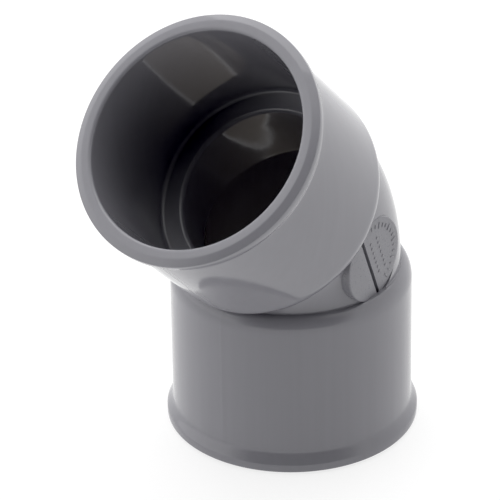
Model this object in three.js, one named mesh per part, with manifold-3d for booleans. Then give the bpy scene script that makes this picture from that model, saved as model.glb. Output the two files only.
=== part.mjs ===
// 45 degree solvent-weld elbow for 50 mm waste pipe, with two equal sockets. Millimetres, +Z up.
//
// The fitting is one moulding. Here each functional section of it is a closed solid of its own:
// a rim, a socket and a pipe stop at each end, the bend between them, and a round marking pad on
// each side of the bend. Neighbouring sections stay JOIN_GAP apart.
//
// The lower socket opens downwards and stands on its rim. The upper socket faces -Y and 45 degrees
// up. The bend lies in the YZ plane, and the origin is at the bottom centre of the bounding box.

import * as THREE from 'three';
import { mergeVertices } from 'three/addons/utils/BufferGeometryUtils.js';
import Module from 'manifold-3d';

// Whole elbow
const BEND_ANGLE = THREE.MathUtils.degToRad(45);
const CENTRE_TO_MOUTH = 50.7; // from the point where the two axes cross to either mouth
const JOIN_GAP = 0.3;
const ROUND_SEGMENTS = 64;

// Socket, with every depth measured inwards from the mouth
const SOCKET_RADIUS = 27.7;
const BORE_RADIUS_AT_MOUTH = 25.15;
const BORE_RADIUS_AT_STOP = 24.95;
const STOP_DEPTH = 35.0;
const SHOULDER_DEPTH = 39.7;
const SHOULDER_ROUNDING = 2.4;
const SHOULDER_ARC_STEPS = 4;

// Rim: a flat end face with a chamfer inside, rounded over onto a collar that tapers back to the socket
const FACE_INNER_RADIUS = 25.5;
const FACE_OUTER_RADIUS = 27.4;
const BORE_CHAMFER_DEPTH = 0.4;
const COLLAR_RADIUS = 29.1;
const COLLAR_ROUNDING_DEPTH = 0.7;
const COLLAR_ARC_STEPS = 4;
const COLLAR_STRAIGHT_END = 1.6;
const COLLAR_TAPER_END = 3.3;
const RIM_LENGTH = 5.0;

// Bend
const BEND_OUTER_RADIUS = 25.1;
const BEND_BORE_RADIUS = 19.6;
const MITRE_OVERLAP = 0.05;
const BEND_STEPS = 10;

// Marking pads on the bend's two sides. Each pad's flat face is a little lower than the bend's crest,
// and stands proud of the bend where its surface curves away.
const PAD_RADIUS = 10.2;
const PAD_FACE_X = 24.7;
const PAD_THICKNESS = 1.0; // over the bend's crest
const PAD_REACH = 8; // how far the pad's edge can run down the side of the bend
const PAD_INSET = 1.3; // from the middle of the bend towards its inside
const PAD_SEGMENTS = 48;
const SLOT_LENGTH = 17.6;
const SLOT_WIDTH = 1.0;
const SLOT_INSET = 2.6; // from the pad's centre towards the inside of the bend
const SLOT_SHIFT = 1.0; // from the pad's centre towards the lower socket

const TANGENT_LENGTH = CENTRE_TO_MOUTH - SHOULDER_DEPTH;
const BEND_CENTRELINE_RADIUS = TANGENT_LENGTH / Math.tan(BEND_ANGLE / 2);

// Takes a socket that opens downwards at the origin to the upper end.
const UPPER_PLACEMENT = new THREE.Matrix4()
  .makeRotationX(BEND_ANGLE - Math.PI)
  .setPosition(
    0,
    -CENTRE_TO_MOUTH * Math.sin(BEND_ANGLE),
    CENTRE_TO_MOUTH * (1 + Math.cos(BEND_ANGLE)),
  );

const wasm = await Module();
wasm.setup();

// Solids

function toSolid(geometry) {
  const bare = geometry.clone();
  bare.deleteAttribute('normal');
  bare.deleteAttribute('uv');
  const merged = mergeVertices(bare);
  return new wasm.Manifold(new wasm.Mesh({
    numProp: 3,
    vertProperties: new Float32Array(merged.attributes.position.array),
    triVerts: new Uint32Array(merged.index.array),
  }));
}

function toGeometry(solid) {
  const { numProp, vertProperties, triVerts } = solid.getMesh();
  const geometry = new THREE.BufferGeometry();
  geometry.setAttribute('position', new THREE.BufferAttribute(vertProperties, numProp));
  geometry.setIndex(new THREE.BufferAttribute(triVerts, 1));
  geometry.computeVertexNormals();
  return geometry;
}

// Turns a closed (radius, depth) outline about +Z. The outline runs outwards along the face that is
// nearest to the mouth, and comes back along the bore.
function revolve(outline) {
  const points = [...outline, outline[0]].map(([radius, depth]) => new THREE.Vector2(radius, depth));
  return new THREE.LatheGeometry(points, ROUND_SEGMENTS).rotateX(Math.PI / 2);
}

// Sections of one socket, along its own +Z from the mouth inwards

function boreRadius(depth) {
  return THREE.MathUtils.lerp(BORE_RADIUS_AT_MOUTH, BORE_RADIUS_AT_STOP, depth / STOP_DEPTH);
}

function rimGeometry() {
  const outline = [[FACE_INNER_RADIUS, 0]];
  for (let step = 0; step <= COLLAR_ARC_STEPS; step += 1) {
    const angle = (step / COLLAR_ARC_STEPS) * (Math.PI / 2);
    outline.push([
      THREE.MathUtils.lerp(FACE_OUTER_RADIUS, COLLAR_RADIUS, Math.sin(angle)),
      COLLAR_ROUNDING_DEPTH * (1 - Math.cos(angle)),
    ]);
  }
  outline.push(
    [COLLAR_RADIUS, COLLAR_STRAIGHT_END],
    [SOCKET_RADIUS, COLLAR_TAPER_END],
    [SOCKET_RADIUS, RIM_LENGTH],
    [boreRadius(RIM_LENGTH), RIM_LENGTH],
    [boreRadius(BORE_CHAMFER_DEPTH), BORE_CHAMFER_DEPTH],
  );
  return revolve(outline);
}

function socketGeometry() {
  const start = RIM_LENGTH + JOIN_GAP;
  return revolve([
    [boreRadius(start), start],
    [SOCKET_RADIUS, start],
    [SOCKET_RADIUS, STOP_DEPTH],
    [BORE_RADIUS_AT_STOP, STOP_DEPTH],
  ]);
}

// The ledge that the pipe's end meets, closed outside by the rounded shoulder. The ledge stays inside
// the bore, and beyond it the section steps back to clear the end of the socket's wall.
function stopGeometry() {
  const ledgeRadius = BORE_RADIUS_AT_STOP - JOIN_GAP;
  const outline = [
    [BEND_BORE_RADIUS, STOP_DEPTH],
    [ledgeRadius, STOP_DEPTH],
    [ledgeRadius, STOP_DEPTH + JOIN_GAP],
    [SOCKET_RADIUS, STOP_DEPTH + JOIN_GAP],
  ];
  for (let step = 0; step <= SHOULDER_ARC_STEPS; step += 1) {
    const angle = (step / SHOULDER_ARC_STEPS) * (Math.PI / 2);
    outline.push([
      SOCKET_RADIUS - SHOULDER_ROUNDING * (1 - Math.cos(angle)),
      SHOULDER_DEPTH - SHOULDER_ROUNDING * (1 - Math.sin(angle)),
    ]);
  }
  outline.push([BEND_BORE_RADIUS, SHOULDER_DEPTH]);
  return revolve(outline);
}

// Bend: an arc in the YZ plane from the lower shoulder to the upper one

function pointOnBend(angle) {
  return new THREE.Vector3(
    0,
    BEND_CENTRELINE_RADIUS * (Math.cos(angle) - 1),
    SHOULDER_DEPTH + BEND_CENTRELINE_RADIUS * Math.sin(angle),
  );
}

class BendArc extends THREE.Curve {
  constructor(startAngle, endAngle) {
    super();
    this.startAngle = startAngle;
    this.endAngle = endAngle;
  }

  getPoint(t, target = new THREE.Vector3()) {
    return target.copy(pointOnBend(THREE.MathUtils.lerp(this.startAngle, this.endAngle, t)));
  }
}

function sweepRound(radius, arc) {
  const section = new THREE.Shape().absarc(0, 0, radius, 0, 2 * Math.PI);
  return new THREE.ExtrudeGeometry(section, {
    extrudePath: arc,
    steps: BEND_STEPS,
    curveSegments: ROUND_SEGMENTS / 2,
  });
}

// A round bar along X, centred on a pad. side is 1 for +X and -1 for -X.
function padBar(side, radius, innerX, outerX) {
  const bar = new THREE.CylinderGeometry(radius, radius, outerX - innerX, PAD_SEGMENTS)
    .rotateZ(Math.PI / 2)
    .translate(side * (innerX + outerX) / 2, -PAD_INSET, 0);
  return toSolid(placeOnBend(bar));
}

// Everything on the upper side of the mitre plane, which is halfway round the bend, moved along by shift.
function upperHalf(shift) {
  const size = 4 * SOCKET_RADIUS;
  return toSolid(new THREE.BoxGeometry(size, size, size)
    .translate(0, 0, size / 2 + shift)
    .rotateX(BEND_ANGLE / 2)
    .translate(0, 0, CENTRE_TO_MOUTH));
}

// The bore inside the bend is two straight round bores that meet, and just overlap, on the mitre plane.
function mitredBore() {
  const length = 4 * SOCKET_RADIUS;
  const straight = new THREE.CylinderGeometry(BEND_BORE_RADIUS, BEND_BORE_RADIUS, length, ROUND_SEGMENTS)
    .rotateX(Math.PI / 2)
    .translate(0, 0, length / 2);
  const lowerBore = toSolid(straight).subtract(upperHalf(MITRE_OVERLAP));
  const upperBore = toSolid(straight.applyMatrix4(UPPER_PLACEMENT)).intersect(upperHalf(-MITRE_OVERLAP));
  return lowerBore.add(upperBore);
}

// Moves a geometry from the origin to the middle of the bend, with its +Z along the bend.
function placeOnBend(geometry) {
  const middle = pointOnBend(BEND_ANGLE / 2);
  return geometry.rotateX(BEND_ANGLE / 2).translate(middle.x, middle.y, middle.z);
}

// The bend, bored through, with a shallow flat-bottomed seat for each pad.
function bendGeometry() {
  const gapAngle = JOIN_GAP / BEND_CENTRELINE_RADIUS;
  const arc = new BendArc(gapAngle, BEND_ANGLE - gapAngle);
  let bend = toSolid(sweepRound(BEND_OUTER_RADIUS, arc)).subtract(mitredBore());
  for (const side of [1, -1]) {
    const seatX = PAD_FACE_X - PAD_THICKNESS - JOIN_GAP;
    bend = bend.subtract(padBar(side, PAD_RADIUS + JOIN_GAP, seatX, COLLAR_RADIUS));
  }
  return toGeometry(bend);
}

// The space that one socket takes up, and a gap beyond its shoulder.
function socketSpace() {
  const height = SHOULDER_DEPTH + JOIN_GAP;
  return new THREE.CylinderGeometry(COLLAR_RADIUS, COLLAR_RADIUS, height, ROUND_SEGMENTS)
    .rotateX(Math.PI / 2)
    .translate(0, 0, height / 2);
}

// A round flat-faced pad, hollowed to fit over the bend, trimmed at both shoulders and cut by one
// straight slot along the bend.
function padGeometry(side) {
  const undersideX = PAD_FACE_X - PAD_THICKNESS;
  const tube = toSolid(sweepRound(BEND_OUTER_RADIUS + JOIN_GAP, new BendArc(0, BEND_ANGLE)));
  const core = new THREE.BoxGeometry(2 * undersideX, 4 * SOCKET_RADIUS, 4 * SOCKET_RADIUS);
  const slot = new THREE.BoxGeometry(PAD_REACH, SLOT_WIDTH, SLOT_LENGTH)
    .translate(side * PAD_FACE_X, -PAD_INSET - SLOT_INSET, -SLOT_SHIFT);
  return toGeometry(padBar(side, PAD_RADIUS, PAD_FACE_X - PAD_REACH, PAD_FACE_X)
    .subtract(tube.intersect(toSolid(placeOnBend(core))))
    .subtract(toSolid(socketSpace()))
    .subtract(toSolid(socketSpace().applyMatrix4(UPPER_PLACEMENT)))
    .subtract(toSolid(placeOnBend(slot))));
}

// Assembly

function section(name, geometry) {
  const material = new THREE.MeshStandardMaterial({ color: 0x7e7f85, roughness: 0.38, metalness: 0 });
  const mesh = new THREE.Mesh(geometry, material);
  mesh.name = name;
  return mesh;
}

function socketGroup(place) {
  const group = new THREE.Group();
  group.add(
    section(`${place}_rim`, rimGeometry()),
    section(`${place}_socket`, socketGeometry()),
    section(`${place}_pipe_stop`, stopGeometry()),
  );
  return group;
}

const upperSocket = socketGroup('upper');
upperSocket.applyMatrix4(UPPER_PLACEMENT);

const elbow = new THREE.Group();
elbow.add(
  socketGroup('lower'),
  section('bend', bendGeometry()),
  section('marking_pad_right', padGeometry(1)),
  section('marking_pad_left', padGeometry(-1)),
  upperSocket,
);

const bounds = new THREE.Box3().setFromObject(elbow, true);
elbow.position.y = -(bounds.min.y + bounds.max.y) / 2;

export default elbow;
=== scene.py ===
"""Looks of a grey PVC 45 degree pipe elbow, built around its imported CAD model. Metres, +Z up.

The moulding is one closed skin: rings round the pipe's path, from the lower mouth over the outside to
the upper mouth and back through the bore. The two marking pads are pieces of their own, let into it.
"""

import math

import bpy
from mathutils import Matrix, Vector


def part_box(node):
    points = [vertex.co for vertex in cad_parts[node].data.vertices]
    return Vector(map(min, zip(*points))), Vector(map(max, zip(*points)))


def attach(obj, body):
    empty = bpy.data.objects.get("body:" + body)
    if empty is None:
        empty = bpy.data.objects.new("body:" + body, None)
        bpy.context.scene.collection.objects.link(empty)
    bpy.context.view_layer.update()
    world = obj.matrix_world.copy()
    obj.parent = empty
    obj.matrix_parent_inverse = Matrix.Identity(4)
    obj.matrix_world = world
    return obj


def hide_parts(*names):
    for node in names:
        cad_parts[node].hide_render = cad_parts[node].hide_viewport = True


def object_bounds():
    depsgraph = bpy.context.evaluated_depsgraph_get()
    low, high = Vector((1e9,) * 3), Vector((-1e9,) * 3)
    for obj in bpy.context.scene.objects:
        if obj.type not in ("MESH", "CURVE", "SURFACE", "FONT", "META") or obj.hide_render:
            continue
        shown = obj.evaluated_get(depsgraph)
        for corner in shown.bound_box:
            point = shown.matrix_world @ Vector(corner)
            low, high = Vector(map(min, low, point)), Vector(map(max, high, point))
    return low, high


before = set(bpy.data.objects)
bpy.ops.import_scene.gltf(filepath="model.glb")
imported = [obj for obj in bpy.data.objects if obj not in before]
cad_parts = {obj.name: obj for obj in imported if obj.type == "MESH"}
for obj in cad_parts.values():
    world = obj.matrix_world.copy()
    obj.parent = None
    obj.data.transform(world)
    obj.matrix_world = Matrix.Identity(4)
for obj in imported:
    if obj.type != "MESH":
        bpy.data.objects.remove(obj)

MM = 0.001
CAD_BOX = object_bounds()

# ---------------------------------------------------------------- sizes, in millimetres

# The pipe's path: up the lower socket, round the bend and out of the upper socket.
BEND = math.radians(45)
MOUTH_Y = (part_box("lower_rim")[0].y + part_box("lower_rim")[1].y) / 2 / MM
CENTRE_TO_MOUTH = 50.7       # from where the two axes cross to either mouth
STOP_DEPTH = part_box("lower_socket")[1].z / MM
SHOULDER_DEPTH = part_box("lower_pipe_stop")[1].z / MM
ARC_RADIUS = (CENTRE_TO_MOUTH - SHOULDER_DEPTH) / math.tan(BEND / 2)
CENTRE = Vector((0, MOUTH_Y, CENTRE_TO_MOUTH))
UPPER_AXIS = Vector((0, -math.sin(BEND), math.cos(BEND)))
UPPER_SIDE = Vector((0, math.cos(BEND), math.sin(BEND)))
UPPER_MOUTH = CENTRE + CENTRE_TO_MOUTH * UPPER_AXIS

COLLAR_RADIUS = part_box("lower_rim")[1].x / MM
SOCKET_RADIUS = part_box("lower_socket")[1].x / MM
BEND_RADIUS = 25.1
BEND_BORE_RADIUS = 19.6
BORE_MOUTH_RADIUS = 25.15
BORE_STOP_RADIUS = 24.95

# The rim, the collar, the shoulder and the pipe stop.
FACE_INNER_RADIUS = 26.1
FACE_OUTER_RADIUS = 27.4
FACE_EDGE_REACH = 0.25       # reach of the rounding between the face and its bevel
MOUTH_ROUNDING = 0.6
COLLAR_CHAMFER = 0.7         # depth of the bevel round the face
COLLAR_EDGE_REACH = 0.18     # reach of the rounding between the bevel and the collar
COLLAR_STRAIGHT_END = 2.4
COLLAR_TAPER_END = 5.6
SHOULDER_LENGTH = 4.2
SHOULDER_HEIGHT = 2.45
STOP_CORNER = 0.9            # fillet where the bore's wall meets the stop
STOP_LIP = 1.0               # rounding where the stop meets the bend's bore
MITRE_NARROWING = 0.03       # how much smaller the bore's radius is at the mitre itself

# How finely the skin is divided.
SEGMENTS = 192
ROUNDING_STEPS = 5
STOP_STEPS = 6
CURVE_STEPS = 14             # the collar's taper, and the shoulder
WALL_STEPS = 20
BEND_STEPS = 30
WALL_MARGIN = 0.6            # between a straight wall's rings and the rounding next to them
BEND_MARGIN = 0.008          # radians between the bend's rings and each shoulder
MITRE_SHARES = (0.25, 0.5, 0.75, 0.95, 0.985)    # where the bore's rings lie, from stop to mitre

PARTING_ANGLES = (math.pi / 2, 3 * math.pi / 2)    # the outer and the inner side of the bend
PARTING_HALF_WIDTH = 0.22
PARTING_HEIGHT = 0.035
PARTING_START = 8.0          # the parting line is trimmed off near the collar
SAME_ANGLE = 1e-6            # radians

# The marking pads.
PAD_RADIUS = 10.0
PAD_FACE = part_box("marking_pad_right")[1].x / MM
PAD_INSET = 1.3              # from the middle of the bend towards its inside
PAD_SHIFT = 0.5              # towards the lower socket
PAD_EDGE = 0.35
PAD_SEGMENTS = 128
PAD_DEPTH = 3.6              # its back stays clear of the bend's bore
SEAT_CLEARANCE = 0.03
SEAT_DEPTH = PAD_DEPTH + SEAT_CLEARANCE
SLOT_LENGTH = 17.6
SLOT_WIDTH = 0.95
SLOT_INSET = 2.0
SLOT_SHIFT = 0.5
SLOT_FLOOR = 0.9             # depth of the slot below the pad's face
SLOT_END_STEPS = 10

# The raised ticks and dots on a pad.
MARK_HEIGHT = 0.12
MARK_ROOT = 0.3              # depth of a mark's foot below the pad's face
MARK_SIDE_SHARE = 0.6        # share of a mark's height where its bevel starts
MARK_BEVEL = 0.06
TICK_COUNT = 15
TICK_SPREAD = 150            # degrees of the pad's edge that the ticks cover
TICK_RADIUS = 8.0
TICK_WIDTH = 0.42
TICK_END_STEPS = 5
LONG_TICK = 1.7
SHORT_TICK = 1.1
LONG_TICK_EVERY = 3
DOT_COLUMNS = (0.4, 2.9)     # across the slot, from the pad's middle
DOT_COLUMN_SHIFT = 0.4       # the second column is this much nearer the lower socket
DOT_ROWS = 7
DOT_PITCH = 1.5
DOT_RADIUS = 0.36
DOT_SEGMENTS = 12

# Cutting tools, and the angles in degrees above which an edge is shaded sharp.
TOOL_REACH = 3               # how far a tool stands out past a pad's face
SOCKET_MARGIN = 1            # how far the space over a socket stands out past its collar and mouth
SHOULDER_GAP = 0.02          # how far short of the shoulder's end that space stops
MOULDING_SHARP_ANGLE = 28
PAD_SHARP_ANGLE = 50


# ---------------------------------------------------------------- rings

def ring_angles():
    """Even angles round the pipe, and one more close to each side of both parting lines."""
    angles = [2 * math.pi * i / SEGMENTS for i in range(SEGMENTS)]
    near = PARTING_HALF_WIDTH / SOCKET_RADIUS
    for middle in PARTING_ANGLES:
        angles += [middle - near, middle + near]
    return sorted(angles)


ANGLES = ring_angles()


def parting_lift(angle, wanted):
    """How far the skin stands out at the parting line."""
    on_line = min(abs(angle - middle) for middle in PARTING_ANGLES) < SAME_ANGLE
    return PARTING_HEIGHT if wanted and on_line else 0.0


def lower_ring(radius, depth, tilt=0.0, parting=False):
    """A ring in the lower socket. tilt leans it towards the mitre plane."""
    points = []
    for angle in ANGLES:
        r = radius + parting_lift(angle, parting)
        side = r * math.sin(angle)
        points.append(Vector((r * math.cos(angle), MOUTH_Y + side, depth + tilt * side)))
    return points


def upper_ring(radius, depth, tilt=0.0, parting=False):
    """The same ring in the upper socket."""
    points = []
    for angle in ANGLES:
        r = radius + parting_lift(angle, parting)
        side = r * math.sin(angle)
        along = UPPER_MOUTH - (depth + tilt * side) * UPPER_AXIS
        points.append(along + Vector((r * math.cos(angle), 0, 0)) + side * UPPER_SIDE)
    return points


def bend_middle(turn):
    """The point on the bend's centreline arc at a turn from its lower end."""
    y = MOUTH_Y + ARC_RADIUS * (math.cos(turn) - 1)
    return Vector((0, y, SHOULDER_DEPTH + ARC_RADIUS * math.sin(turn)))


def bend_ring(radius, turn, parting=False):
    """A ring round the bend's centreline arc."""
    middle = bend_middle(turn)
    side_axis = Vector((0, math.cos(turn), math.sin(turn)))
    points = []
    for angle in ANGLES:
        r = radius + parting_lift(angle, parting)
        points.append(middle + Vector((r * math.cos(angle), 0, 0)) + r * math.sin(angle) * side_axis)
    return points


def steps(start, end, count):
    """The two ends and the values between them, in even steps."""
    return [start + (end - start) * i / count for i in range(count + 1)]


def bore_radius(depth):
    """Radius of a socket's tapered bore."""
    return BORE_MOUTH_RADIUS + (BORE_STOP_RADIUS - BORE_MOUTH_RADIUS) * depth / STOP_DEPTH


def soft_corner(before, corner, after, reach):
    """A corner of the outline, rounded off from reach before it to reach after it."""
    corner = Vector(corner)
    start = corner + (Vector(before) - corner).normalized() * reach
    end = corner + (Vector(after) - corner).normalized() * reach
    points = [start * (1 - t) ** 2 + corner * 2 * t * (1 - t) + end * t ** 2
              for t in steps(0, 1, ROUNDING_STEPS)]
    return [(point.x, point.y, False) for point in points]


def outside_outline():
    """(radius, depth, parting) from the inside of the mouth, over the face and collar, to the shoulder."""
    outline = []
    for t in steps(0, math.pi / 2, ROUNDING_STEPS):
        radius = FACE_INNER_RADIUS - (FACE_INNER_RADIUS - bore_radius(0)) * math.cos(t)
        outline.append((radius, MOUTH_ROUNDING * (1 - math.sin(t)), False))
    face_edge, collar_edge = (FACE_OUTER_RADIUS, 0), (COLLAR_RADIUS, COLLAR_CHAMFER)
    outline += soft_corner((FACE_INNER_RADIUS, 0), face_edge, collar_edge, FACE_EDGE_REACH)
    outline += soft_corner(face_edge, collar_edge, (COLLAR_RADIUS, COLLAR_STRAIGHT_END), COLLAR_EDGE_REACH)
    for t in steps(0, 1, CURVE_STEPS):
        radius = SOCKET_RADIUS + (COLLAR_RADIUS - SOCKET_RADIUS) * (1 - t) ** 2 * (1 + t)
        outline.append((radius, COLLAR_STRAIGHT_END + (COLLAR_TAPER_END - COLLAR_STRAIGHT_END) * t, False))
    for depth in steps(PARTING_START, SHOULDER_DEPTH - SHOULDER_LENGTH - WALL_MARGIN, WALL_STEPS):
        outline.append((SOCKET_RADIUS, depth, True))
    for t in steps(0, math.pi / 2, CURVE_STEPS):
        radius = SOCKET_RADIUS - SHOULDER_HEIGHT * (1 - math.cos(t))
        outline.append((radius, SHOULDER_DEPTH - SHOULDER_LENGTH * (1 - math.sin(t)), True))
    return outline


def inside_outline():
    """(radius, depth) from the bend's bore, over the pipe stop, to the inside of the mouth."""
    outline = []
    for t in steps(0, math.pi / 2, STOP_STEPS):
        radius = BEND_BORE_RADIUS + STOP_LIP * (1 - math.cos(t))
        outline.append((radius, STOP_DEPTH + STOP_LIP * (1 - math.sin(t))))
    for t in steps(0, math.pi / 2, STOP_STEPS):
        radius = BORE_STOP_RADIUS - STOP_CORNER * (1 - math.sin(t))
        outline.append((radius, STOP_DEPTH - STOP_CORNER * (1 - math.cos(t))))
    for depth in steps(STOP_DEPTH - STOP_CORNER - WALL_MARGIN, MOUTH_ROUNDING + WALL_MARGIN, WALL_STEPS):
        outline.append((bore_radius(depth), depth))
    return outline


def moulding_rings():
    """Every ring of the skin in order, so that the last one joins the first."""
    outside = outside_outline()
    inside = inside_outline()
    rings = [lower_ring(r, d, parting=p) for r, d, p in outside]
    turns = steps(BEND_MARGIN, BEND - BEND_MARGIN, BEND_STEPS)
    rings += [bend_ring(BEND_RADIUS, turn, parting=True) for turn in turns]
    rings += [upper_ring(r, d, parting=p) for r, d, p in reversed(outside)]
    rings += [upper_ring(r, d) for r, d in reversed(inside)]
    mitre = math.tan(BEND / 2)
    start = inside[0][1]
    for share in MITRE_SHARES:
        depth = start + (CENTRE_TO_MOUTH - start) * share
        rings.append(upper_ring(BEND_BORE_RADIUS, depth, mitre * share))
    rings.append(lower_ring(BEND_BORE_RADIUS - MITRE_NARROWING, CENTRE_TO_MOUTH, mitre))
    for share in reversed(MITRE_SHARES):
        depth = start + (CENTRE_TO_MOUTH - start) * share
        rings.append(lower_ring(BEND_BORE_RADIUS, depth, mitre * share))
    rings += [lower_ring(r, d) for r, d in inside]
    return rings


def new_mesh(name, points, faces):
    mesh = bpy.data.meshes.new(name)
    mesh.from_pydata(points, [], faces)
    mesh.update()
    return mesh


def skin_mesh(name, rings):
    """A closed skin through the rings, each joined to the next and the last to the first."""
    count = len(ANGLES)
    vertices = [point * MM for ring in rings for point in ring]
    faces = []
    for i in range(len(rings)):
        a, b = i * count, ((i + 1) % len(rings)) * count
        for j in range(count):
            k = (j + 1) % count
            faces.append((a + j, a + k, b + k, b + j))
    return new_mesh(name, vertices, faces)


def add_object(name, mesh):
    thing = bpy.data.objects.new(name, mesh)
    bpy.context.scene.collection.objects.link(thing)
    return thing


# ---------------------------------------------------------------- solids for cutting and joining

def pad_frame(side):
    """The frame of a pad: X out of its face, Z along the bend, origin on the pad's centre line."""
    turn = BEND / 2
    along_bend = Matrix.Translation(bend_middle(turn)) @ Matrix.Rotation(turn, 4, "X")
    place = along_bend @ Matrix.Translation((0, -PAD_INSET, -PAD_SHIFT))
    return place @ Matrix.Diagonal((side, 1, 1, 1))


def prism_part(outline, levels, place):
    """Points and faces of a solid through copies of a (y, z) outline, one at each (x, inset) level."""
    points, faces = [], []
    count = len(outline)
    for x, inset in levels:
        for y, z in outline:
            length = math.hypot(y, z)
            scale = (length - inset) / length
            points.append(place @ Vector((x, y * scale, z * scale)) * MM)
    for i in range(len(levels) - 1):
        for j in range(count):
            k = (j + 1) % count
            faces.append((i * count + j, i * count + k, (i + 1) * count + k, (i + 1) * count + j))
    faces.append(tuple(reversed(range(count))))
    faces.append(tuple((len(levels) - 1) * count + j for j in range(count)))
    if place.determinant() < 0:
        faces = [tuple(reversed(face)) for face in faces]
    return points, faces


def solid(name, parts):
    """One object that holds every part."""
    points, faces = [], []
    for part_points, part_faces in parts:
        start = len(points)
        points += part_points
        faces += [tuple(start + corner for corner in face) for face in part_faces]
    return add_object(name, new_mesh(name, points, faces))


def prism(name, outline, levels, place):
    """An object with one such solid."""
    return solid(name, [prism_part(outline, levels, place)])


def circle(radius, count):
    turns = [2 * math.pi * i / count for i in range(count)]
    return [(radius * math.cos(turn), radius * math.sin(turn)) for turn in turns]


def stadium(length, width, end_steps):
    """A slot outline along Z with round ends, centred on the origin."""
    radius = width / 2
    reach = length / 2 - radius
    points = []
    for start, middle in ((0, reach), (math.pi, -reach)):
        for t in steps(start, start + math.pi, end_steps):
            points.append((radius * math.cos(t), middle + radius * math.sin(t)))
    return points


def boolean(target, tool, operation):
    """Cuts the tool from the target, or joins it, and removes the tool."""
    modifier = target.modifiers.new("boolean", "BOOLEAN")
    modifier.operation = operation
    modifier.solver = "EXACT"
    modifier.object = tool
    graph = bpy.context.evaluated_depsgraph_get()
    mesh = bpy.data.meshes.new_from_object(target.evaluated_get(graph))
    target.modifiers.clear()
    target.data = mesh
    bpy.data.objects.remove(tool)


def smooth(thing, sharp_degrees):
    """Smooth shading, apart from edges sharper than an angle."""
    thing.data.shade_smooth()
    thing.data.set_sharp_from_angle(angle=math.radians(sharp_degrees))


# ---------------------------------------------------------------- pieces

def socket_space(end_ring):
    """A solid a little wider than the collar, over one socket's whole length."""
    radius = COLLAR_RADIUS + SOCKET_MARGIN
    low = end_ring(radius, -SOCKET_MARGIN)
    high = end_ring(radius, SHOULDER_DEPTH - SHOULDER_GAP)
    count = len(ANGLES)
    faces = [(j, (j + 1) % count, count + (j + 1) % count, count + j) for j in range(count)]
    faces += [tuple(reversed(range(count))), tuple(range(count, 2 * count))]
    mesh = new_mesh("socket_space", [point * MM for point in low + high], faces)
    if end_ring is upper_ring:
        mesh.flip_normals()
    return add_object("socket_space", mesh)


def clear_of_sockets(tool):
    """Keeps a cutting tool off both shoulders."""
    boolean(tool, socket_space(lower_ring), "DIFFERENCE")
    boolean(tool, socket_space(upper_ring), "DIFFERENCE")
    return tool


def slot_tool(side):
    """The cutter for the straight slot in a pad and in the moulding beside it."""
    place = pad_frame(side) @ Matrix.Translation((0, -SLOT_INSET, -SLOT_SHIFT))
    slot = prism("slot_tool", stadium(SLOT_LENGTH, SLOT_WIDTH, SLOT_END_STEPS),
                 [(PAD_FACE - SLOT_FLOOR, 0), (PAD_FACE + TOOL_REACH, 0)], place)
    return clear_of_sockets(slot)


def make_moulding():
    """The whole elbow as one skin, with a pocket and part of a slot for each pad."""
    moulding = add_object("elbow_moulding", skin_mesh("elbow_moulding", moulding_rings()))
    for side in (1, -1):
        seat = prism("seat_tool", circle(PAD_RADIUS + SEAT_CLEARANCE, PAD_SEGMENTS),
                     [(PAD_FACE - SEAT_DEPTH, 0), (PAD_FACE + TOOL_REACH, 0)], pad_frame(side))
        boolean(moulding, clear_of_sockets(seat), "DIFFERENCE")
        boolean(moulding, slot_tool(side), "DIFFERENCE")
    smooth(moulding, MOULDING_SHARP_ANGLE)
    return moulding


def make_marks(side):
    """Plain raised ticks round the pad's outer part, and two columns of dots beside the slot."""
    face = pad_frame(side)
    bevel_start = PAD_FACE + MARK_HEIGHT * MARK_SIDE_SHARE
    levels = [(PAD_FACE - MARK_ROOT, 0), (bevel_start, 0), (PAD_FACE + MARK_HEIGHT, MARK_BEVEL)]
    parts = []
    for i in range(TICK_COUNT):
        turn = math.radians(TICK_SPREAD * (i / (TICK_COUNT - 1) - 0.5))
        length = LONG_TICK if i % LONG_TICK_EVERY == 0 else SHORT_TICK
        spot = Matrix.Rotation(turn, 4, "X") @ Matrix.Translation((0, TICK_RADIUS, 0))
        outline = [(z, y) for y, z in reversed(stadium(length, TICK_WIDTH, TICK_END_STEPS))]
        parts.append(prism_part(outline, levels, face @ spot))
    for column, y in enumerate(DOT_COLUMNS):
        for row in range(DOT_ROWS):
            z = (row - (DOT_ROWS - 1) / 2) * DOT_PITCH - DOT_COLUMN_SHIFT * column
            spot = Matrix.Translation((0, y, z))
            parts.append(prism_part(circle(DOT_RADIUS, DOT_SEGMENTS), levels, face @ spot))
    return solid("marks", parts)


def make_pad(side, name):
    """A round pad with a rounded edge, its marks and its part of the slot."""
    levels = [(PAD_FACE - PAD_DEPTH, 0)]
    for t in steps(0, math.pi / 2, ROUNDING_STEPS):
        levels.append((PAD_FACE - PAD_EDGE * (1 - math.sin(t)), PAD_EDGE * (1 - math.cos(t))))
    pad = prism(name, circle(PAD_RADIUS, PAD_SEGMENTS), levels, pad_frame(side))
    boolean(pad, make_marks(side), "UNION")
    boolean(pad, slot_tool(side), "DIFFERENCE")
    smooth(pad, PAD_SHARP_ANGLE)
    return pad


# ---------------------------------------------------------------- materials

PVC_DARK = (0.199, 0.197, 0.216)
PVC_LIGHT = (0.218, 0.216, 0.237)

# Noise scales, per metre. A pair is the scale across Z and the scale along it.
STREAK_SCALES = (420, 9)
RUB_SCALES = (160, 700)
CLOUD_SCALE = 38
ROUGHNESS_SCALE = 55
PVC_GRAIN_SCALE = 1100
PAD_SPECKLE_SCALE = 1500
PAD_GRAIN_SCALE = 1900

# Sockets of a Mix node by number, because its vector and colour sockets share their names.
MIX_VECTOR_INPUTS = (4, 5)
MIX_VECTOR_OUTPUT = 1
MIX_COLOUR_INPUTS = (6, 7)
MIX_COLOUR_OUTPUT = 2


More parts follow.
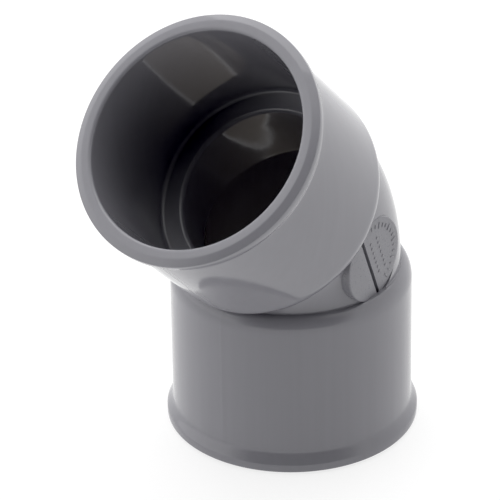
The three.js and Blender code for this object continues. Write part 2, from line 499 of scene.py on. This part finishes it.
def node(tree, kind, **values):
    """A new shader node with some of its settings."""
    made = tree.nodes.new(kind)
    for key, value in values.items():
        setattr(made, key, value)
    return made


class Surface:
    """Shorthand for the nodes of one procedural material.

    roughness is the shader's plain value, under the one that the nodes give it.
    """

    def __init__(self, name, roughness):
        self.material = bpy.data.materials.new(name)
        self.material.use_nodes = True
        self.tree = self.material.node_tree
        self.shader = self.tree.nodes["Principled BSDF"]
        self.shader.inputs["Roughness"].default_value = roughness
        self.place = node(self.tree, "ShaderNodeTexCoord").outputs["Object"]

    def link(self, output, target):
        self.tree.links.new(output, target)

    def upright_grain(self, across, along):
        """Object coordinates scaled across and along Z, for a pattern that is drawn out along one of them.

        Above the bend's mitre plane they are also turned and shifted after the scaling. The pattern keeps
        its direction there, and is another part of the same noise.
        """
        turned = []
        for angle in (0, -BEND):
            mapping = node(self.tree, "ShaderNodeMapping")
            mapping.inputs["Rotation"].default_value = (angle, 0, 0)
            mapping.inputs["Scale"].default_value = (across, across, along)
            mapping.inputs["Location"].default_value = (0, angle, 0)
            self.link(self.place, mapping.inputs["Vector"])
            turned.append(mapping.outputs["Vector"])
        side = node(self.tree, "ShaderNodeVectorMath", operation="DOT_PRODUCT")
        self.link(self.place, side.inputs[0])
        mitre = Vector((0, -math.sin(BEND / 2), math.cos(BEND / 2)))
        side.inputs[1].default_value = mitre
        upper = node(self.tree, "ShaderNodeMath", operation="GREATER_THAN")
        self.link(side.outputs["Value"], upper.inputs[0])
        upper.inputs[1].default_value = mitre.dot(CENTRE) * MM
        mix = node(self.tree, "ShaderNodeMix", data_type="VECTOR")
        self.link(upper.outputs[0], mix.inputs[0])
        for coordinates, number in zip(turned, MIX_VECTOR_INPUTS):
            self.link(coordinates, mix.inputs[number])
        return mix.outputs[MIX_VECTOR_OUTPUT]

    def noise(self, scale, detail, roughness=0.5, place=None):
        """A noise from 0 to 1, on the object's coordinates or on others."""
        made = node(self.tree, "ShaderNodeTexNoise")
        made.inputs["Scale"].default_value = scale
        made.inputs["Detail"].default_value = detail
        made.inputs["Roughness"].default_value = roughness
        self.link(place or self.place, made.inputs["Vector"])
        return made.outputs["Fac"]

    def spread(self, value, low, high, start=0.3, end=0.7):
        """A value drawn out, so that start becomes low and end becomes high, and clamped to them."""
        made = node(self.tree, "ShaderNodeMapRange")
        for key, number in (("From Min", start), ("From Max", end), ("To Min", low), ("To Max", high)):
            made.inputs[key].default_value = number
        self.link(value, made.inputs["Value"])
        return made.outputs["Result"]

    def combine(self, operation, first, second):
        made = node(self.tree, "ShaderNodeMath", operation=operation)
        self.link(first, made.inputs[0])
        self.link(second, made.inputs[1])
        return made.outputs[0]

    def colour(self, factor, low, high):
        """A base colour between two, by a factor from 0 to 1."""
        mix = node(self.tree, "ShaderNodeMix", data_type="RGBA")
        for colour, number in zip((low, high), MIX_COLOUR_INPUTS):
            mix.inputs[number].default_value = (*colour, 1)
        self.link(factor, mix.inputs[0])
        self.link(mix.outputs[MIX_COLOUR_OUTPUT], self.shader.inputs["Base Color"])

    def bump(self, height, distance, strength):
        made = node(self.tree, "ShaderNodeBump")
        made.inputs["Strength"].default_value = strength
        made.inputs["Distance"].default_value = distance
        self.link(height, made.inputs["Height"])
        self.link(made.outputs["Normal"], self.shader.inputs["Normal"])


def pvc_material():
    """Glossy moulded PVC: faint upright flow streaks, soft clouding and fine rub marks."""
    surface = Surface("grey_pvc", 0.09)
    streaks = surface.noise(1, detail=3, roughness=0.6, place=surface.upright_grain(*STREAK_SCALES))
    clouds = surface.noise(CLOUD_SCALE, detail=4)
    shade = surface.combine("MULTIPLY", surface.spread(streaks, low=0.55, high=1),
                            surface.spread(clouds, low=0.6, high=1))
    surface.colour(shade, PVC_DARK, PVC_LIGHT)
    rubs = surface.noise(1, detail=2, place=surface.upright_grain(*RUB_SCALES))
    rubs = surface.spread(rubs, low=0, high=0.05, start=0.58, end=0.72)
    handled = surface.noise(ROUGHNESS_SCALE, detail=5, roughness=0.6)
    roughness = surface.combine("ADD", surface.spread(handled, low=0.055, high=0.10), rubs)
    surface.link(roughness, surface.shader.inputs["Roughness"])
    grain = surface.combine("ADD", surface.noise(PVC_GRAIN_SCALE, detail=2),
                            surface.spread(streaks, low=0, high=0.8))
    surface.bump(grain, distance=0.00003, strength=0.10)
    return surface.material


def pad_material():
    """The same PVC where the mould was spark-eroded: a fine matt grain."""
    surface = Surface("grey_pvc_grained", 0.3)
    speckle = surface.noise(PAD_SPECKLE_SCALE, detail=4, roughness=0.65)
    surface.colour(surface.spread(speckle, low=0, high=1), PVC_DARK, PVC_LIGHT)
    surface.link(surface.spread(speckle, low=0.24, high=0.42), surface.shader.inputs["Roughness"])
    grain = surface.noise(PAD_GRAIN_SCALE, detail=4, roughness=0.7)
    surface.bump(grain, distance=0.00012, strength=0.35)
    return surface.material


# ---------------------------------------------------------------- stage, lights and camera

CAMERA_AZIMUTH = 35.3785
CAMERA_ELEVATION = 29.3817
CAMERA_ROLL = -0.9341
CAMERA_FROM_MOUTH = Vector((406.159, -587.809, 444.475))   # from the lower mouth's centre, millimetres
CAMERA_LENS = 258.89
CAMERA_SENSOR = 36
CAMERA_CLIP_START = 0.05     # metres
HALF_PIXEL = 0.5 / 500
BLACK_LEVEL = 0.010

FLOOR_HALF_SIZE = 6.0                        # metres
FLOOR_COLOUR = (0.24, 0.24, 0.24, 1)
FLOOR_ROUGHNESS = 0.9
FLOOR_GLOW = (0.76, 0.76, 0.76, 1)
FLOOR_PAINTED_SHADE_GLOW = (0.33, 0.30, 0.26, 1)    # painted shade: the floor glows dimmer and warmer under the fitting
FLOOR_PAINTED_SHADE_EDGE = 4                          # millimetres inside the bore's wall where the painted shade starts to give way to the full glow

DARK_SPOT = (37, 22)         # azimuth and elevation of the middle of the tent's dark opening
DARK_SPOT_OUTER = 0.46       # cosine of the angle from it where the tent starts to darken
DARK_SPOT_INNER = 0.86       # and where it is darkest
DARK_SPOT_LEVEL = 0.02
BRIGHT_SIDE = (-70, 10)      # azimuth and elevation of the tent's brightest wall
DIM_SIDE_LEVEL = 0.62        # the opposite wall, as a share of it
TENT_STRENGTH = 1.72

SOFTBOX_DIRECTION = (215, 65)    # azimuth and elevation
SOFTBOX_DISTANCE = 1.0           # metres
SOFTBOX_SIZE = 0.9               # metres
SOFTBOX_POWER = 4


def make_camera():
    """A long lens at the photographed view."""
    data = bpy.data.cameras.new("camera")
    data.lens = CAMERA_LENS
    data.sensor_width = CAMERA_SENSOR
    data.shift_x = -HALF_PIXEL
    data.shift_y = HALF_PIXEL
    data.clip_start = CAMERA_CLIP_START
    camera = bpy.data.objects.new("camera", data)
    turn = Matrix.Rotation(math.radians(CAMERA_AZIMUTH), 4, "Z")
    lean = Matrix.Rotation(math.radians(90 - CAMERA_ELEVATION), 4, "X")
    roll = Matrix.Rotation(math.radians(CAMERA_ROLL), 4, "Z")
    place = Matrix.Translation((CAMERA_FROM_MOUTH + Vector((0, MOUTH_Y, 0))) * MM)
    camera.matrix_world = place @ turn @ lean @ roll
    bpy.context.scene.collection.objects.link(camera)
    bpy.context.scene.camera = camera


def make_floor():
    """A pale floor that glows, and glows less and warmer inside the circle that the fitting stands on:
    painted shade under the fitting.
    """
    size = FLOOR_HALF_SIZE
    corners = [(-size, -size, 0), (size, -size, 0), (size, size, 0), (-size, size, 0)]
    floor = add_object("floor", new_mesh("floor", corners, [(0, 1, 2, 3)]))
    material = bpy.data.materials.new("floor")
    material.use_nodes = True
    tree = material.node_tree
    shader = tree.nodes["Principled BSDF"]
    shader.inputs["Base Color"].default_value = FLOOR_COLOUR
    shader.inputs["Roughness"].default_value = FLOOR_ROUGHNESS
    away = node(tree, "ShaderNodeVectorMath", operation="DISTANCE")
    tree.links.new(node(tree, "ShaderNodeTexCoord").outputs["Object"], away.inputs[0])
    away.inputs[1].default_value = (0, MOUTH_Y * MM, 0)
    # painted shade under the fitting: the floor's glow dims and warms inside the lower mouth's circle
    painted_shade_ramp = node(tree, "ShaderNodeMapRange", interpolation_type="SMOOTHSTEP")
    painted_shade_ramp.inputs["From Min"].default_value = (BORE_MOUTH_RADIUS - FLOOR_PAINTED_SHADE_EDGE) * MM
    painted_shade_ramp.inputs["From Max"].default_value = FACE_INNER_RADIUS * MM
    tree.links.new(away.outputs["Value"], painted_shade_ramp.inputs["Value"])
    glow_with_painted_shade = node(tree, "ShaderNodeMix", data_type="RGBA")
    for colour, number in zip((FLOOR_PAINTED_SHADE_GLOW, FLOOR_GLOW), MIX_COLOUR_INPUTS):
        glow_with_painted_shade.inputs[number].default_value = colour
    tree.links.new(painted_shade_ramp.outputs["Result"], glow_with_painted_shade.inputs[0])
    tree.links.new(glow_with_painted_shade.outputs[MIX_COLOUR_OUTPUT], shader.inputs["Emission Color"])
    shader.inputs["Emission Strength"].default_value = 1
    floor.data.materials.append(material)


def direction_for(azimuth, elevation):
    """The direction towards an azimuth from -Y and an elevation, in degrees."""
    around = math.radians(azimuth)
    up = math.radians(elevation)
    return Vector((math.sin(around) * math.cos(up), -math.cos(around) * math.cos(up), math.sin(up)))


def make_world():
    """A light tent: dark round the camera's side, bright elsewhere, and brightest on one side wall."""
    world = bpy.data.worlds.new("tent")
    bpy.context.scene.world = world
    world.use_nodes = True
    tree = world.node_tree
    place = node(tree, "ShaderNodeTexCoord").outputs["Generated"]
    facing = node(tree, "ShaderNodeVectorMath", operation="DOT_PRODUCT")
    tree.links.new(place, facing.inputs[0])
    facing.inputs[1].default_value = direction_for(*DARK_SPOT)
    shade = node(tree, "ShaderNodeMapRange", interpolation_type="SMOOTHSTEP")
    shade.inputs["From Min"].default_value = DARK_SPOT_OUTER
    shade.inputs["From Max"].default_value = DARK_SPOT_INNER
    shade.inputs["To Min"].default_value = 1.0
    shade.inputs["To Max"].default_value = DARK_SPOT_LEVEL
    tree.links.new(facing.outputs["Value"], shade.inputs["Value"])
    lean = node(tree, "ShaderNodeVectorMath", operation="DOT_PRODUCT")
    tree.links.new(place, lean.inputs[0])
    lean.inputs[1].default_value = direction_for(*BRIGHT_SIDE)
    level = node(tree, "ShaderNodeMapRange")
    level.inputs["From Min"].default_value = -1
    level.inputs["To Min"].default_value = DIM_SIDE_LEVEL
    tree.links.new(lean.outputs["Value"], level.inputs["Value"])
    both = node(tree, "ShaderNodeMath", operation="MULTIPLY")
    tree.links.new(shade.outputs["Result"], both.inputs[0])
    tree.links.new(level.outputs["Result"], both.inputs[1])
    tree.links.new(both.outputs[0], tree.nodes["Background"].inputs["Color"])
    tree.nodes["Background"].inputs["Strength"].default_value = TENT_STRENGTH


def make_softbox():
    """One large soft light from above and behind, aimed at the fitting's middle."""
    data = bpy.data.lights.new("top_softbox", "AREA")
    data.shape = "RECTANGLE"
    data.size = SOFTBOX_SIZE
    data.size_y = SOFTBOX_SIZE
    data.energy = SOFTBOX_POWER
    light = bpy.data.objects.new("top_softbox", data)
    direction = direction_for(*SOFTBOX_DIRECTION)
    light.location = (CAD_BOX[0] + CAD_BOX[1]) / 2 + direction * SOFTBOX_DISTANCE
    light.rotation_euler = (-direction).to_track_quat("-Z", "Y").to_euler()
    bpy.context.scene.collection.objects.link(light)


def set_view():
    """Plain colours, with the darkest tones pulled down to black."""
    view = bpy.context.scene.view_settings
    view.view_transform = "Standard"
    view.use_curve_mapping = True
    view.curve_mapping.black_level = (BLACK_LEVEL,) * 3


# ---------------------------------------------------------------- the scene

make_camera()
set_view()
pvc = pvc_material()
grained_pvc = pad_material()

moulding = make_moulding()
moulding.data.materials.append(pvc)
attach(moulding, "root")
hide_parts("lower_rim", "lower_socket", "lower_pipe_stop", "bend",
            "upper_pipe_stop", "upper_socket", "upper_rim")

for side, side_name in ((1, "right"), (-1, "left")):
    pad = make_pad(side, "pad_" + side_name)
    pad.data.materials.append(grained_pvc)
    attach(pad, "root")
    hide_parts("marking_pad_" + side_name)

make_floor()
make_world()
make_softbox()
